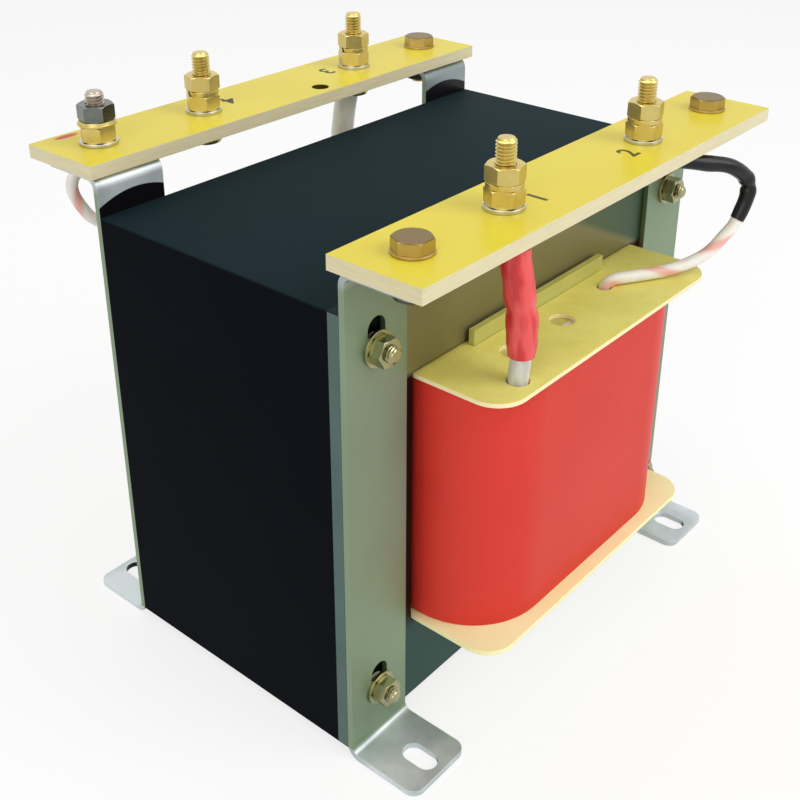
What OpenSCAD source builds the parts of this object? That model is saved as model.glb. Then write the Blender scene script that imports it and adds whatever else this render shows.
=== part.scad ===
// Laminated chassis transformer on four folded straps, with two terminal boards.
// Width runs along X, the depth of the lamination stack along Y, height along Z.
// The origin is on the mounting plane, under the middle of the core.

/* [Core] */
// Width of each outer limb, and height of each yoke
limb_w = 30; // [24:1:40]
// Width of one winding window
window_w = 30; // [27:1:40]
// Height of the winding windows
window_h = 90; // [70:1:130]
// Depth of the painted lamination stack
stack_d = 94; // [60:1:140]
// Depth of the bare laminations at the front of the stack
bare_d = 4; // [1:0.5:8]
// Height of the core above the mounting plane
core_lift = 3; // [1:0.5:8]
// Diameter of the bolt holes through the laminations
core_bore = 8; // [7.5:0.5:10]
// Height of the lower core bolts above the bottom of the laminations
low_bolt_inset = 17; // [13:1:20]
// Depth of the upper core bolts below the top of the laminations
high_bolt_inset = 14; // [13:1:20]

/* [Bobbin and coil] */
// Gap between the winding tube and the centre limb
tube_gap = 1; // [0.5:0.1:1.5]
// Wall of the winding tube
tube_wall = 2; // [1:0.5:3]
// Thickness of the flanges
flange_t = 1.5; // [1:0.5:3]
// Gap between a flange and the laminations
flange_gap = 0.5; // [0.3:0.1:1]
// Gap between the winding tube and the hole in a flange
flange_fit = 0.2; // [0.1:0.05:0.4]
// Reach of the flanges beyond the face of the core
flange_reach = 31.5; // [30:0.5:40]
// Corner radius of the flanges
flange_r = 10; // [4:1:16]
// Width of the tongues at the ends of the winding tube
tongue_w = 71; // [67:1:90]
// Height of a tongue above its flange
tongue_h = 5; // [2:0.5:10]
// Thickness of the inner winding
inner_build = 11; // [8:0.5:12]
// Thickness of the insulation between the windings
layer_t = 1; // [0.5:0.5:2]
// Thickness of the outer winding
outer_build = 10.5; // [8:0.5:11]
// Thickness of the outer wrap
wrap_t = 1.5; // [0.5:0.5:2]
// Height of the margin collars above and below the outer winding
margin_h = 4; // [2:0.5:8]
// Corner radius of the winding tube
tube_r = 2; // [1:0.5:4]

/* [Straps] */
// Width of a strap
strap_w = 25; // [20:1:28]
// Sheet thickness of the straps
strap_t = 2; // [1.5:0.5:3]
// Reach of a foot beyond the face of its strap
foot_reach = 25; // [22:1:35]
// Inner radius of the bend at a foot
foot_bend = 2.5; // [1:0.5:5]
// Reach of a top tab beyond the face of its strap
tab_reach = 24; // [20:1:27]
// Inner radius of the bend at a top tab
tab_bend = 2.5; // [1:0.5:6]
// Height of the top tabs above the core
tab_rise = 13; // [10:1:30]
// Corner radius of the feet and tabs
strap_corner = 4; // [1:0.5:6]
// Width of the slots for the core bolts
bolt_slot_w = 7; // [6.5:0.5:9]
// Length of the slots for the core bolts
bolt_slot_l = 14; // [12:1:26]
// Height of the middle of a core bolt slot above its bolt
bolt_slot_rise = 2.5; // [0:0.5:4]
// Width of a foot slot
foot_slot_w = 7; // [5:0.5:9]
// Length of a foot slot
foot_slot_l = 12; // [9.5:0.5:14]
// Distance from the face of a strap to the middle of its foot slot
foot_slot_at = 16.5; // [13:0.5:17]

/* [Fasteners] */
// Diameter of the board bolts and studs
thread_d = 6; // [5:0.5:6]
// Width across the flats of the nuts and heads on the boards
nut_af = 10; // [9:0.5:10]
// Height of a nut on the boards
nut_h = 5; // [3:0.5:6]
// Height of a head on the boards
head_h = 3.6; // [3:0.2:5]
// Diameter of the washers on the boards
washer_d = 12; // [11:0.5:14]
// Thickness of the flat washers of the studs
washer_t = 1.2; // [0.8:0.2:2]
// Thickness of the washers of the board bolts
board_washer_t = 0.8; // [0.6:0.2:2]
// Thickness of the spring washers
spring_t = 1.5; // [1:0.1:2]
// Outer diameter of the spring washers
spring_d = 10.6; // [9.5:0.1:11]
// Length of a board bolt's end beyond its nut
bolt_end = 1.5; // [1:0.5:5]
// Diameter of the core bolts
core_bolt_d = 5; // [4:0.5:6]
// Width across the flats of the core bolts' nuts and heads
core_bolt_af = 8; // [7:0.5:10]
// Height of a core bolt's nut
core_nut_h = 4; // [3:0.5:5]
// Height of a core bolt's head
core_head_h = 3.5; // [3:0.5:5]
// Diameter of the washers of the core bolts
core_washer_d = 11; // [10:0.5:16]
// Thickness of the washers of the core bolts
core_washer_t = 1; // [0.8:0.2:2]
// Length of a core bolt's end beyond its nut
core_bolt_end = 2; // [1:0.5:5]
// Radial play of a bolt or stud in what it passes through
bolt_play = 0.2; // [0.1:0.05:0.4]
// Width of the open thread groove above the upper nut of a stud
groove_w = 0.5; // [0.4:0.1:1]
// Depth of that groove
groove_depth = 0.5; // [0.4:0.1:0.6]

/* [Terminal boards] */
// Length of a terminal board
board_l = 185; // [170:1:200]
// Width of a terminal board
board_w = 31; // [26:1:32]
// Thickness of a terminal board
board_t = 4.5; // [3:0.5:8]
// Distance from the face of a strap to the line of the board's bolts
board_line = 12; // [11:0.5:14]
// Distance between the two studs of a board
stud_spacing = 74; // [50:1:90]
// Offset of the pair of studs toward the left end of its board
stud_shift = 2; // [0:0.5:5]
// Height of a stud above its board
stud_h = 20; // [17:0.5:30]
// Height of the earth stud above its board
earth_h = 16.5; // [15:0.5:30]
// Diameter of the spare hole in the rear board
spare_d = 6; // [3:0.5:6.5]
// Distance of the spare hole from the middle of the rear board
spare_x = 11; // [0:1:20]
// Distance of the spare hole from the inner edge of the rear board
spare_in = 6; // [5:0.5:9]

/* [Leads] */
// Diameter of the straight leads
thick_d = 6; // [4:0.5:6]
// Diameter of the looped leads
thin_d = 4; // [3:0.5:4.5]
// Wall of the shrunk sleeve on a straight lead
thick_wall = 1.3; // [0.5:0.1:1.5]
// Wall of the shrunk sleeve on a looped lead
thin_wall = 0.6; // [0.4:0.1:0.8]
// Gap between a lead and the sleeve shrunk on it
shrink_gap = 0.2; // [0.15:0.05:0.4]
// Gap between a lead and the edge of its hole in the top flange
lead_gap = 0.5; // [0.3:0.1:1]
// Thickness of the ring lugs
lug_t = 1; // [0.6:0.2:1.4]
// Outer diameter of the ring lugs
lug_d = 10.5; // [9.5:0.5:11]
// Distance from a stud to the barrel of a looped lead's lug
lug_reach = 8; // [7.5:0.5:10]
// Length of a lug's barrel
barrel_l = 5; // [3:0.5:8]
// Gap between a stud's head and the sleeve that runs down beside it
head_gap = 0.6; // [0.3:0.1:1]
// Gap between a looped lead and the board above it or the flange below it
lay_gap = 0.3; // [0.2:0.1:0.6]
// Reach of the front lead's loop past its stud toward the side
loop_side = 34; // [30:0.5:40]
// Reach of the rear lead's loop past its stud toward the side
rear_loop_side = 39.5; // [30:0.5:40]
// Reach of a lead's loop past its stud toward the front
loop_out = 22; // [18:1:24]
// Distance from the core to the hole of a straight lead in the top flange
thick_hole_out = 24.5; // [20:0.5:26]
// Distance from the middle of the flange to that hole
thick_hole_x = 43.5; // [38:0.5:46]
// Distance from the core to the hole of a looped lead in the top flange
thin_hole_out = 11; // [9:0.5:16]
// Distance from the middle of the flange to that hole
thin_hole_x = 24; // [18:0.5:30]
// Diameter of the spare holes in the top flange
punch_d = 8; // [5:0.5:9]
// Distance from the core to the spare holes in the top flange
punch_out = 13.5; // [12:0.5:20]
// Distance from the middle of the flange to the nearer spare hole
near_punch_x = 4.5; // [0:0.5:10]
// Distance from the middle of the flange to the farther spare hole
far_punch_x = 30.5; // [28:0.5:33]

/* [Hidden] */
$fn = 48;

core_w = 4 * limb_w + 2 * window_w;
core_h = 2 * limb_w + window_h;
core_top = core_lift + core_h;
core_d = stack_d + bare_d;
face_y = core_d / 2;
strap_face = face_y + strap_t;
window_z = core_lift + limb_w;

// Bolt places: the core bolts lie on the middle lines of the straps.
bolt_x = core_w / 2 - strap_w / 2;
bolt_z = [core_lift + low_bolt_inset, core_top - high_bolt_inset];
hole_r = thread_d / 2 + bolt_play;
core_hole_r = core_bolt_d / 2 + bolt_play;

// Bobbin: the tube runs round the centre limb and the flanges close its ends.
tube_x = limb_w + tube_gap + tube_wall;
tube_y = face_y + tube_gap + tube_wall;
flange_low = window_z + flange_gap;
flange_high = window_z + window_h - flange_gap;
coil_low = flange_low + flange_t;
coil_high = flange_high - flange_t;
flange_x = limb_w + window_w - flange_gap;
flange_y = face_y + flange_reach;

// Heights of the boards and their hardware
board_z = core_top + tab_rise;
board_top = board_z + board_t;
board_y = strap_face + board_line;
tab_under = board_z - strap_t;
stud_x = [-stud_spacing / 2 - stud_shift, stud_spacing / 2 - stud_shift];
stud_foot = board_z - lug_t - washer_t;

// ---------- flat shapes ----------

module rounded(x, y, r) {
    square([2 * x, 2 * (y - r)], center = true);
    square([2 * (x - r), 2 * y], center = true);
    for (i = [-1, 1], j = [-1, 1]) translate([i * (x - r), j * (y - r)]) circle(r);
}

module slot_shape(length, width) {
    square([width, length - width], center = true);
    for (i = [-1, 1]) translate([0, i * (length - width) / 2]) circle(d = width);
}

// ---------- fasteners, standing on z = 0 and pointing up ----------

module hex_block(af, h, flat_below) {
    across = af / cos(30);
    edge = (across - af) / 2 * tan(30);
    intersection() {
        cylinder(h = h, d = across, $fn = 6);
        rotate_extrude() polygon([
            [0, 0], [flat_below ? across / 2 : af / 2, 0], [across / 2, flat_below ? 0 : edge],
            [across / 2, h - edge], [af / 2, h], [0, h]
        ]);
    }
}

module nut(d, af, h) {
    difference() {
        hex_block(af, h, false);
        translate([0, 0, -1]) cylinder(h = h + 2, d = d);
    }
}

module board_nut() { nut(thread_d, nut_af, nut_h); }

module washer(d, t, bore_r) {
    difference() {
        cylinder(h = t, d = d);
        translate([0, 0, -1]) cylinder(h = t + 2, r = bore_r);
    }
}

module stud_washer() { washer(washer_d, washer_t, hole_r); }

module board_washer() { washer(washer_d, board_washer_t, hole_r); }

module spring_washer() {
    split = 0.8;
    difference() {
        washer(spring_d, spring_t, hole_r);
        rotate([30, 0, 0]) translate([0, -split / 2, -spring_t])
            cube([spring_d, split, 4 * spring_t]);
    }
}

// A hex bolt, the underside of its head at z = 0 and its shank pointing up to a chamfered tip
module hex_bolt(d, af, head, length) {
    tip = d / 10;
    mirror([0, 0, 1]) hex_block(af, head, true);
    cylinder(h = length - tip, d = d);
    translate([0, 0, length - tip]) cylinder(h = tip, r1 = d / 2, r2 = d / 2 - tip);
}

// A stud of the boards, from its head's underside to its tip, with an open groove above its upper nut
module stud_bolt(foot, top) {
    difference() {
        hex_bolt(thread_d, nut_af, head_h, top - foot);
        translate([0, 0, upper_nut_z + nut_h - foot]) difference() {
            cylinder(h = groove_w, d = thread_d + 1);
            translate([0, 0, -1]) cylinder(h = groove_w + 2, d = thread_d - 2 * groove_depth);
        }
    }
}

// Sets its children at a place and points them along -Y or +Y
module along_y(x, y, z, sign) {
    translate([x, y, z]) rotate([-90 * sign, 0, 0]) children();
}

module half_turn() {
    rotate([0, 0, 180]) children();
}

// ---------- core ----------

module core_holes() {
    for (i = [-1, 1], z = bolt_z) along_y(i * bolt_x, -face_y - 1, z, 1)
        cylinder(h = core_d + 2, d = core_bore);
}

module e_shape(from, depth) {
    difference() {
        translate([-core_w / 2, from, core_lift]) cube([core_w, depth, limb_w + window_h]);
        for (i = [-1, 1]) translate([i * (limb_w + window_w / 2) - window_w / 2, from - 1, window_z])
            cube([window_w, depth + 2, window_h + 1]);
        core_holes();
    }
}

module i_shape(from, depth) {
    difference() {
        translate([-core_w / 2, from, window_z + window_h]) cube([core_w, depth, limb_w]);
        core_holes();
    }
}

module e_laminations() { color("#14181f") e_shape(bare_d - face_y, stack_d); }

module i_laminations() { color("#1c2628") i_shape(bare_d - face_y, stack_d); }

module bare_e_lamination() { color("#6d7a6a") e_shape(-face_y, bare_d); }

module bare_i_lamination() { color("#6d7a6a") i_shape(-face_y, bare_d); }

// ---------- bobbin ----------

module winding_tube() {
    color("#c9bd62") {
        translate([0, 0, flange_low]) linear_extrude(flange_high - flange_low) difference() {
            rounded(tube_x, tube_y, tube_r);
            square([2 * (tube_x - tube_wall), 2 * (tube_y - tube_wall)], center = true);
        }
        for (i = [-1, 1]) {
            translate([-tongue_w / 2, i * (tube_y - tube_wall / 2) - tube_wall / 2, coil_high])
                cube([tongue_w, tube_wall, flange_t + tongue_h]);
            translate([-tongue_w / 2, i * (tube_y - tube_wall / 2) - tube_wall / 2, flange_low - tongue_h])
                cube([tongue_w, tube_wall, flange_t + tongue_h]);
        }
    }
}

// The flange outline, with the hole that the tube and its tongues pass through
module flange_shape() {
    difference() {
        rounded(flange_x, flange_y, flange_r);
        rounded(tube_x + flange_fit, tube_y + flange_fit, tube_r + flange_fit);
        for (i = [-1, 1]) translate([0, i * (tube_y - tube_wall / 2)])
            square([tongue_w + 2 * flange_fit, tube_wall + 2 * flange_fit], center = true);
    }
}

module top_flange() {
    color("#c6bd5c") translate([0, 0, coil_high]) linear_extrude(flange_t) difference() {
        flange_shape();
        for (turn = [0, 180]) rotate(turn) {
            translate([thick_end[0], thick_end[1]]) circle(d = thick_d + 2 * lead_gap);
            translate([thin_end[0], thin_end[1]]) circle(d = thin_d + 2 * lead_gap);
            for (p = punched) translate(p) circle(d = punch_d);
        }
    }
}

module bottom_flange() {
    color("#efe3b0") translate([0, 0, flange_low]) linear_extrude(flange_t) flange_shape();
}

// ---------- coil ----------

// One layer round the tube, from one thickness to the next
module coil_layer(inner, thickness, low, high) {
    outer = inner + thickness;
    translate([0, 0, low]) linear_extrude(high - low) difference() {
        rounded(tube_x + outer, tube_y + outer, tube_r + outer);
        rounded(tube_x + inner, tube_y + inner, tube_r + inner);
    }
}

outer_at = inner_build + layer_t;
wrap_at = outer_at + outer_build;

module inner_winding() { color("#a5542a") coil_layer(0, inner_build, coil_low, coil_high); }

module winding_insulation() { color("#d8c690") coil_layer(inner_build, layer_t, coil_low, coil_high); }

module outer_winding() {
    color("#b0602e") coil_layer(outer_at, outer_build, coil_low + margin_h, coil_high - margin_h);
}

module margin_collars() {
    color("#cfc477") {
        coil_layer(outer_at, outer_build, coil_low, coil_low + margin_h);
        coil_layer(outer_at, outer_build, coil_high - margin_h, coil_high);
    }
}

module outer_wrap() { color("#d33a2d") coil_layer(wrap_at, wrap_t, coil_low, coil_high); }

// ---------- straps ----------

// A quarter of a sheet's bend about the origin, in the quadrant x < 0 and y < 0
module bend_shape(inner) {
    intersection() {
        difference() {
            circle(inner + strap_t);
            circle(inner);
        }
        translate([-inner - strap_t, -inner - strap_t]) square(inner + strap_t);
    }
}

// Side view of a strap: foot below, tab above, both bent away from the core
module strap_shape() {
    foot_at = strap_t + foot_bend;
    tab_at = strap_t + tab_bend;
    translate([0, foot_at]) square([strap_t, board_z - foot_at - tab_at]);
    translate([foot_at, foot_at]) bend_shape(foot_bend);
    translate([foot_at, 0]) square([foot_reach - foot_bend, strap_t]);
    translate([tab_at, board_z - tab_at]) mirror([0, 1]) bend_shape(tab_bend);
    translate([tab_at, tab_under]) square([tab_reach - tab_bend, strap_t]);
}

// What rounds off the two free corners of a foot or a tab
module corner_waste(reach) {
    for (i = [-1, 1]) translate([i * (strap_w / 2 - strap_corner), reach - strap_corner])
        difference() {
            translate([i > 0 ? 0 : -strap_corner - 1, 0]) square(strap_corner + 1);
            circle(strap_corner);
        }
}

// A strap against the plane y = 0, centred on x = 0 and bent toward +Y
module strap() {
    color("#8d9a86") difference() {
        rotate([90, 0, 90]) translate([0, 0, -strap_w / 2]) linear_extrude(strap_w) strap_shape();
        translate([0, 0, -1]) linear_extrude(strap_t + 2) {
            translate([0, strap_t + foot_slot_at]) slot_shape(foot_slot_l, foot_slot_w);
            corner_waste(strap_t + foot_reach);
        }
        translate([0, 0, tab_under - 1]) linear_extrude(strap_t + 2) {
            translate([0, strap_t + board_line]) circle(hole_r);
            corner_waste(strap_t + tab_reach);
        }
        for (z = bolt_z) translate([0, strap_t + 1, z + bolt_slot_rise]) rotate([90, 0, 0])
            linear_extrude(strap_t + 2) slot_shape(bolt_slot_l, bolt_slot_w);
    }
}

module rear_strap_at(x) { translate([x, face_y, 0]) strap(); }

module rear_left_strap() { rear_strap_at(-bolt_x); }

module rear_right_strap() { rear_strap_at(bolt_x); }

module front_left_strap() { half_turn() rear_strap_at(bolt_x); }

module front_right_strap() { half_turn() rear_strap_at(-bolt_x); }

// ---------- core bolts ----------

module at_core_bolts() {
    for (i = [-1, 1], z = bolt_z) translate([i * bolt_x, 0, z]) children();
}

core_bolt_l = 2 * strap_face + 2 * core_washer_t + core_nut_h + core_bolt_end;

module core_bolts() {
    color("#8c8f72") at_core_bolts() along_y(0, strap_face + core_washer_t, 0, -1)
        hex_bolt(core_bolt_d, core_bolt_af, core_head_h, core_bolt_l);
}

module core_bolt_nuts() {
    color("#8c8f72") at_core_bolts() along_y(0, -strap_face - core_washer_t, 0, -1)
        nut(core_bolt_d, core_bolt_af, core_nut_h);
}

module core_bolt_washers() {
    color("#9b9a78") at_core_bolts() for (i = [-1, 1])
        along_y(0, i * strap_face, 0, i) washer(core_washer_d, core_washer_t, core_hole_r);
}

module core_bolt_tubes() {
    tube_play = 0.15;
    color("#e8e2cc") at_core_bolts() along_y(0, -face_y, 0, 1) difference() {
        cylinder(h = core_d, d = core_bore - 2 * tube_play);
        translate([0, 0, -1]) cylinder(h = core_d + 2, r = core_hole_r);
    }
}

// ---------- terminal boards ----------

module board(spare) {
    difference() {
        translate([-board_l / 2, board_y - board_w / 2, board_z]) cube([board_l, board_w, board_t]);
        for (x = [-bolt_x, bolt_x, -stud_x[0], -stud_x[1]]) translate([x, board_y, board_z - 1])
            cylinder(h = board_t + 2, r = hole_r);
        if (spare) translate([spare_x, board_y - board_w / 2 + spare_in, board_z - 1])
            cylinder(h = board_t + 2, d = spare_d);
    }
}

module front_board() { color("#e3d33c") half_turn() board(false); }

module rear_board() { color("#e3d33c") board(true); }

// The board bolts; the fourth corner, at the left rear, is the earth stud.
module at_board_bolts() {
    for (p = [[-bolt_x, -board_y], [bolt_x, -board_y], [bolt_x, board_y]])
        translate([p[0], p[1], 0]) children();
}

module board_bolts() {
    length = board_t + strap_t + 2 * board_washer_t + nut_h + bolt_end;
    color("#b39a4d") at_board_bolts() translate([0, 0, board_top + board_washer_t])
        mirror([0, 0, 1]) hex_bolt(thread_d, nut_af, head_h, length);
}

module board_bolt_nuts() {
    color("#5a5f55") at_board_bolts() translate([0, 0, tab_under - board_washer_t - nut_h]) board_nut();
}

module board_bolt_washers() {
    color("#c2b268") at_board_bolts() {
        translate([0, 0, board_top]) board_washer();
        translate([0, 0, tab_under - board_washer_t]) board_washer();
    }
}

// ---------- terminal studs ----------

module at_studs() {
    for (turn = [0, 180], x = stud_x) rotate([0, 0, turn]) translate([x, -board_y, 0]) children();
}

// A brass stud, with its head under the board
module stud_at(x) {
    color("#cfae50") translate([x, -board_y, stud_foot]) stud_bolt(stud_foot, board_top + stud_h);
}

module front_left_stud() { stud_at(stud_x[0]); }

module front_right_stud() { stud_at(stud_x[1]); }

module rear_left_stud() { half_turn() stud_at(stud_x[1]); }

module rear_right_stud() { half_turn() stud_at(stud_x[0]); }

lower_nut_z = board_top + washer_t;
spring_z = lower_nut_z + nut_h;
upper_nut_z = spring_z + spring_t;

module stud_flat_washers() { color("#c9cbc6") at_studs() translate([0, 0, board_top]) stud_washer(); }

module lower_stud_nuts() { color("#c9a94f") at_studs() translate([0, 0, lower_nut_z]) board_nut(); }

module stud_spring_washers() { color("#b8964a") at_studs() translate([0, 0, spring_z]) spring_washer(); }

module upper_stud_nuts() {
    color("#c9a94f") at_studs() translate([0, 0, upper_nut_z]) rotate(15) board_nut();
}

module lug_washers() { color("#c9cbc6") at_studs() translate([0, 0, stud_foot]) stud_washer(); }

// ---------- earth stud ----------

module at_earth() { translate([-bolt_x, board_y, 0]) children(); }

earth_foot = tab_under - washer_t;

module earth_stud() {
    color("#5d625c") at_earth() translate([0, 0, earth_foot]) stud_bolt(earth_foot, board_top + earth_h);
}

module earth_flat_washers() {
    color("#c9cbc6") at_earth() {
        translate([0, 0, board_top]) stud_washer();
        translate([0, 0, earth_foot]) stud_washer();
    }
}

module earth_lower_nut() { color("#c9a94f") at_earth() translate([0, 0, lower_nut_z]) board_nut(); }

module earth_washers() {
    color("#c9a94f") at_earth() for (i = [0, 1])
        translate([0, 0, spring_z + i * spring_t / 2]) washer(washer_d - i, spring_t / 2, hole_r);
}

module earth_upper_nut() {
    color("#4d524b") at_earth() translate([0, 0, upper_nut_z]) rotate(15) board_nut();
}

// ---------- ring lugs ----------

thick_angle = -125;
thin_angle = -40;
thin_drop = thin_d / 2 + thin_wall + shrink_gap + lay_gap;
thick_out = nut_af / 2 / cos(30) + thick_d / 2 + thick_wall + shrink_gap + head_gap;

// The ring of a lug, lying under its board, with a tongue toward +X
module lug_ring(tongue) {
    translate([0, 0, board_z - lug_t]) difference() {
        union() {
            cylinder(h = lug_t, d = lug_d);
            translate([0, -thin_d / 2, 0]) cube([tongue, thin_d, lug_t]);
        }
        translate([0, 0, -1]) cylinder(h = lug_t + 2, r = hole_r);
    }
}

// A lug with its barrel level, for a looped lead
module level_lug() {
    lug_ring(lug_reach);
    translate([lug_reach - lug_t, -thin_d / 2, board_z - thin_drop]) cube([lug_t, thin_d, thin_drop]);
    translate([lug_reach - lug_t, 0, board_z - thin_drop]) rotate([0, 90, 0])
        cylinder(h = barrel_l + lug_t, d = thin_d);
}

// A lug bent down at a right angle, for a straight lead
module bent_lug() {
    lug_ring(thick_out);
    translate([thick_out, 0, board_z - lug_t - barrel_l]) cylinder(h = barrel_l + lug_t, d = thick_d);
}

module front_lugs() {
    color("#c3c6bf") {
        translate([stud_x[0], -board_y, 0]) rotate(thick_angle) bent_lug();
        translate([stud_x[1], -board_y, 0]) rotate(thin_angle) level_lug();
    }
}

module rear_lugs() { half_turn() front_lugs(); }

// ---------- leads ----------

function unit(v) = v / norm(v);

// A point on the smooth curve through b and c
function curve(a, b, c, d, t) =
    (2 * b + (c - a) * t + (2 * a - 5 * b + 4 * c - d) * t * t + (3 * b - a - 3 * c + d) * t * t * t) / 2;

function smooth(points, steps) = let (last = len(points) - 1) [
    for (i = [0 : last - 1], s = [0 : steps - 1])
        curve(points[max(i - 1, 0)], points[i], points[i + 1], points[min(i + 2, last)], s / steps),
    points[last]
];

function heading(path, i) = unit(path[min(i + 1, len(path) - 1)] - path[max(i - 1, 0)]);

// Side vectors along a path, each carried on from the one before without twist
function sides(path, i, before) = i == len(path) ? [] :
    let (h = heading(path, i), s = unit(before - (before * h) * h)) concat([s], sides(path, i + 1, s));

function ring(centre, h, s, r, n) =
    [for (k = [0 : n - 1]) centre + r * (cos(360 * k / n) * s + sin(360 * k / n) * cross(h, s))];

lead_sides = 12;

// A round lead along part of a path, or a sleeve if it has an inner radius
module sweep(path, first, last, outer, inner) {
    n = lead_sides;
    side = sides(path, 0, [0.6, 0.64, 0.48]);
    rows = last - first + 1;
    skin = [for (i = [first : last]) each ring(path[i], heading(path, i), side[i], outer, n)];
    bore = inner == 0 ? [] :
        [for (i = [first : last]) each ring(path[i], heading(path, i), side[i], inner, n)];
    end = (rows - 1) * n;
    shift = rows * n;
    function next(k) = (k + 1) % n;
    walls = [for (i = [0 : rows - 2], k = [0 : n - 1])
        [i * n + k, (i + 1) * n + k, (i + 1) * n + next(k), i * n + next(k)]];
    inner_walls = [for (w = walls) [for (j = [3 : -1 : 0]) w[j] + shift]];
    caps = inner == 0
        ? [[for (k = [0 : n - 1]) k], [for (k = [n - 1 : -1 : 0]) end + k]]
        : [for (k = [0 : n - 1]) each [
            [k, next(k), shift + next(k), shift + k],
            [shift + end + k, shift + end + next(k), end + next(k), end + k]
        ]];
    polyhedron(points = concat(skin, bore), faces = concat(walls, inner == 0 ? [] : inner_walls, caps));
}

// Where the front leads leave the top flange, and its spare holes
thick_end = [-thick_hole_x, -face_y - thick_hole_out];
thin_end = [thin_hole_x, -face_y - thin_hole_out];
punched = [for (x = [near_punch_x, far_punch_x]) [-x, -face_y - punch_out]];

// From a to b in the plane, and from one height to another
function between(a, b, share) = a + share * (b - a);
function place(p, z) = [p[0], p[1], z];

steps = 3;
flange_top = coil_high + flange_t;
thick_start = [stud_x[0] + thick_out * cos(thick_angle), -board_y + thick_out * sin(thick_angle)];
thick_high = board_z - lug_t - barrel_l;

// Bends of a straight lead: share of the way to its hole, share of the height above the flange
thick_run = [[0.5, 0.8], [1.1, 0.5], [1.2, 0.2], [1.05, 0.08]];
thick_path = smooth([
    place(thick_start, board_z - lug_t),
    place(thick_start, thick_high),
    each [for (s = thick_run)
        place(between(thick_start, thick_end, s[0]), between(flange_top, thick_high, s[1]))],
    place(thick_end, coil_high)
], steps);

// Bends of a looped lead: shares of its reach to the side, of its reach to the front, and of its height
thin_loop = [
    [0.515, 0.62, 0.955], [0.75, 0.85, 0.9], [0.96, 0.975, 0.76], [1, 1, 0.6],
    [0.9, 0.94, 0.37], [0.78, 0.86, 0.25], [0.63, 0.76, 0.13]
];
// Where it lies on the flange: share of the way left to its hole, drop in its own diameters
thin_lay = [[0.82, -0.5], [0.6, -0.1], [0.35, 0], [0.09, 0.05], [0.012, 0.45]];
thin_start = [stud_x[1] + lug_reach * cos(thin_angle), -board_y + lug_reach * sin(thin_angle)];
barrel_end = thin_start + barrel_l * [cos(thin_angle), sin(thin_angle)];
thin_high = board_z - thin_drop;
thin_low = flange_top + thin_d / 2 + lay_gap;

function thin_route(side) =
    let (loop = [for (s = thin_loop) [stud_x[1] + s[0] * side, -board_y - s[1] * loop_out]])
    let (last = len(loop) - 1)
    smooth([
        place(thin_start, thin_high),
        place(barrel_end, thin_high),
        each [for (i = [0 : last]) place(loop[i], between(thin_low, thin_high, thin_loop[i][2]))],
        each [for (s = thin_lay) place(between(thin_end, loop[last], s[0]), thin_low - s[1] * thin_d)],
        place(thin_end, coil_high)
    ], steps);

front_thin_path = thin_route(loop_side);
rear_thin_path = thin_route(rear_loop_side);
thick_shrink_to = 4 * steps;
front_shrink_to = 6 * steps;
rear_shrink_to = 4 * steps;

module thick_lead() { sweep(thick_path, steps, len(thick_path) - 1, thick_d / 2, 0); }

module thin_lead(path) { sweep(path, steps, len(path) - 1, thin_d / 2, 0); }

module thick_shrink() {
    inner = thick_d / 2 + shrink_gap;
    sweep(thick_path, 1, thick_shrink_to, inner + thick_wall, inner);
}

module thin_shrink(path, to) {
    inner = thin_d / 2 + shrink_gap;
    sweep(path, 1, to, inner + thin_wall, inner);
}

module front_left_lead() { color("#dcd8ce") thick_lead(); }

module front_right_lead() { color("#ece6e0") thin_lead(front_thin_path); }

module rear_left_lead() { color("#ece6e0") half_turn() thin_lead(rear_thin_path); }

module rear_right_lead() { color("#dcd8ce") half_turn() thick_lead(); }

module front_left_shrink() { color("#e2443e") thick_shrink(); }

module front_right_shrink() { color("#23262a") thin_shrink(front_thin_path, front_shrink_to); }

module rear_left_shrink() { color("#23262a") half_turn() thin_shrink(rear_thin_path, rear_shrink_to); }

module rear_right_shrink() { color("#d5d6d0") half_turn() thick_shrink(); }

// ---------- nodes ----------

e_laminations();
i_laminations();
bare_e_lamination();
bare_i_lamination();
winding_tube();
top_flange();
bottom_flange();
inner_winding();
winding_insulation();
outer_winding();
margin_collars();
outer_wrap();
front_left_strap();
front_right_strap();
rear_left_strap();
rear_right_strap();
core_bolts();
core_bolt_nuts();
core_bolt_washers();
core_bolt_tubes();
front_board();
rear_board();
board_bolts();
board_bolt_nuts();
board_bolt_washers();
front_left_stud();
front_right_stud();
rear_left_stud();
rear_right_stud();
lower_stud_nuts();
upper_stud_nuts();
stud_spring_washers();
stud_flat_washers();
lug_washers();
front_lugs();
rear_lugs();
earth_stud();
earth_lower_nut();
earth_upper_nut();
earth_washers();
earth_flat_washers();
front_left_lead();
front_right_lead();
rear_left_lead();
rear_right_lead();
front_left_shrink();
front_right_shrink();
rear_left_shrink();
rear_right_shrink();
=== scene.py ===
import math

import bpy
from mathutils import Matrix, Vector, noise


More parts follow.
